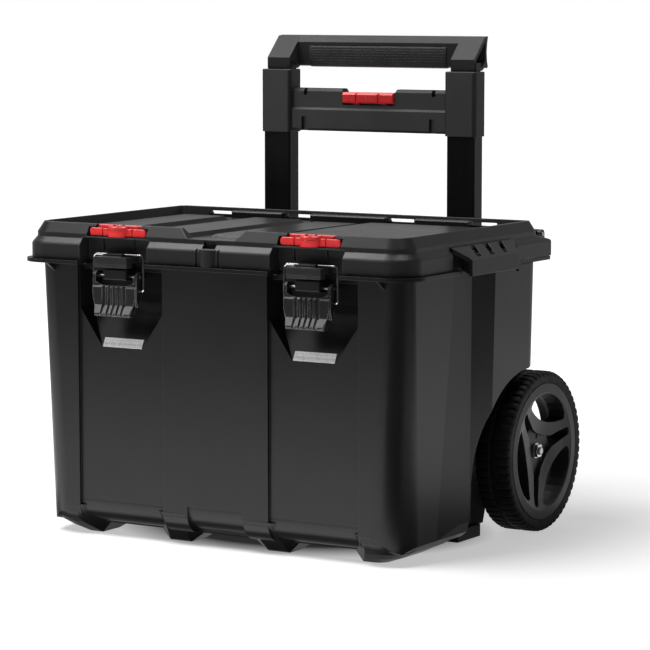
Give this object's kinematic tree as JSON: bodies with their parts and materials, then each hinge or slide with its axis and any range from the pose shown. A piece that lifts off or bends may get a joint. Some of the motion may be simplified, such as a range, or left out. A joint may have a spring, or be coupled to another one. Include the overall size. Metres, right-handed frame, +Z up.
{
  "type": "rolling toolbox",
  "caption": "Black moulded tool chest on wheels with a hinged lid, bail latches, side carry handles and a telescopic pull handle with a release button.",
  "frame": {"origin": "centre of the whole object's footprint box on the floor, with the lid shut and the handle as stored", "axes": "+X towards the box's right side seen from the front, +Y towards the back where the pull handle and wheels are, +Z up"},
  "size_m": [0.574, 0.441, 0.61],
  "materials": {
    "black_pp": "fine grained satin",
    "lid_pp": "fine grained satin",
    "latch_plastic": "satin",
    "red_plastic": "semi gloss",
    "bright_wire": "bright zinc",
    "steel_pin": "zinc plated",
    "reflective": "retro-reflective sheet",
    "seal_rubber": "matt",
    "wheel_plastic": "satin",
    "tyre_black": "matt tread",
    "tube_metal": "black anodised aluminium",
    "handle_pp": "fine grained satin",
    "grip_soft": "soft studded"
  },
  "bodies": {
    "bin": {"bin": "black_pp", "side_handle_left": "black_pp", "side_handle_right": "black_pp", "latch_pin_left": "steel_pin", "latch_pin_right": "steel_pin", "reflector_left": "reflective", "reflector_right": "reflective", "hinge_pins": "steel_pin", "axle": "steel_pin", "axle_spacers": "wheel_plastic", "axle_washers": "steel_pin", "axle_nuts": "bright_wire", "tube_guide_left": "black_pp", "tube_guide_right": "black_pp", "guide_screws": "steel_pin"},
    "lid": {"lid": "lid_pp", "lid_seal": "seal_rubber"},
    "latch_lever_left": {"latch_lever_left": "latch_plastic"},
    "latch_lever_right": {"latch_lever_right": "latch_plastic"},
    "latch_bail_left": {"latch_bail_left": "bright_wire"},
    "latch_bail_right": {"latch_bail_right": "bright_wire"},
    "stack_tab_left": {"stack_tab_left": "red_plastic"},
    "stack_tab_right": {"stack_tab_right": "red_plastic"},
    "wheel_left": {"wheel_left": "wheel_plastic", "tyre_left": "tyre_black"},
    "wheel_right": {"wheel_right": "wheel_plastic", "tyre_right": "tyre_black"},
    "handle_lower": {"tube_outer_left": "tube_metal", "tube_outer_right": "tube_metal", "handle_bridge": "handle_pp", "button_springs": "steel_pin"},
    "handle_upper": {"tube_inner_left": "tube_metal", "tube_inner_right": "tube_metal", "grip": "handle_pp", "grip_insert": "grip_soft"},
    "release_button": {"release_button": "red_plastic"}
  },
  "joints": [
    {"name": "lid_hinge", "type": "hinge", "parent": "bin", "child": "lid", "pos_m": [0, 0.1495, 0.367], "axis": [-1, 0, 0], "range_deg": [0, 72]},
    {"name": "latch_lever_left_hinge", "type": "hinge", "parent": "bin", "child": "latch_lever_left", "pos_m": [-0.1365, -0.2025, 0.324], "axis": [-1, 0, 0], "range_deg": [0, 90]},
    {"name": "latch_lever_right_hinge", "type": "hinge", "parent": "bin", "child": "latch_lever_right", "pos_m": [0.1365, -0.2025, 0.324], "axis": [-1, 0, 0], "range_deg": [0, 90]},
    {"name": "latch_bail_left_hinge", "type": "hinge", "parent": "latch_lever_left", "child": "latch_bail_left", "pos_m": [-0.1365, -0.2025, 0.307], "axis": [-1, 0, 0], "range_deg": [-60, 0]},
    {"name": "latch_bail_right_hinge", "type": "hinge", "parent": "latch_lever_right", "child": "latch_bail_right", "pos_m": [0.1365, -0.2025, 0.307], "axis": [-1, 0, 0], "range_deg": [-60, 0]},
    {"name": "stack_tab_left_slide", "type": "slide", "parent": "lid", "child": "stack_tab_left", "axis": [0, 1, 0], "range_m": [0, 0.005], "stiffness_N_per_m": 500},
    {"name": "stack_tab_right_slide", "type": "slide", "parent": "lid", "child": "stack_tab_right", "axis": [0, 1, 0], "range_m": [0, 0.005], "stiffness_N_per_m": 500},
    {"name": "wheel_left_spin", "type": "hinge", "parent": "bin", "child": "wheel_left", "pos_m": [-0.255, 0.1205, 0.1], "axis": [1, 0, 0], "continuous": true},
    {"name": "wheel_right_spin", "type": "hinge", "parent": "bin", "child": "wheel_right", "pos_m": [0.255, 0.1205, 0.1], "axis": [1, 0, 0], "continuous": true},
    {"name": "handle_lower_slide", "type": "slide", "parent": "bin", "child": "handle_lower", "axis": [0, 0, 1], "range_m": [-0.1, 0.1]},
    {"name": "handle_upper_slide", "type": "slide", "parent": "handle_lower", "child": "handle_upper", "axis": [0, 0, 1], "range_m": [0, 0.3]},
    {"name": "release_button_slide", "type": "slide", "parent": "handle_lower", "child": "release_button", "axis": [0, 0, -1], "range_m": [0, 0.002], "stiffness_N_per_m": 1000, "springref_m": -0.001, "deforming": ["button_springs"]}
  ],
  "couplings": [
    {"joint": "latch_bail_left_hinge", "follows": "latch_lever_left_hinge", "ratio": -0.636},
    {"joint": "latch_bail_right_hinge", "follows": "latch_lever_right_hinge", "ratio": -0.636}
  ]
}
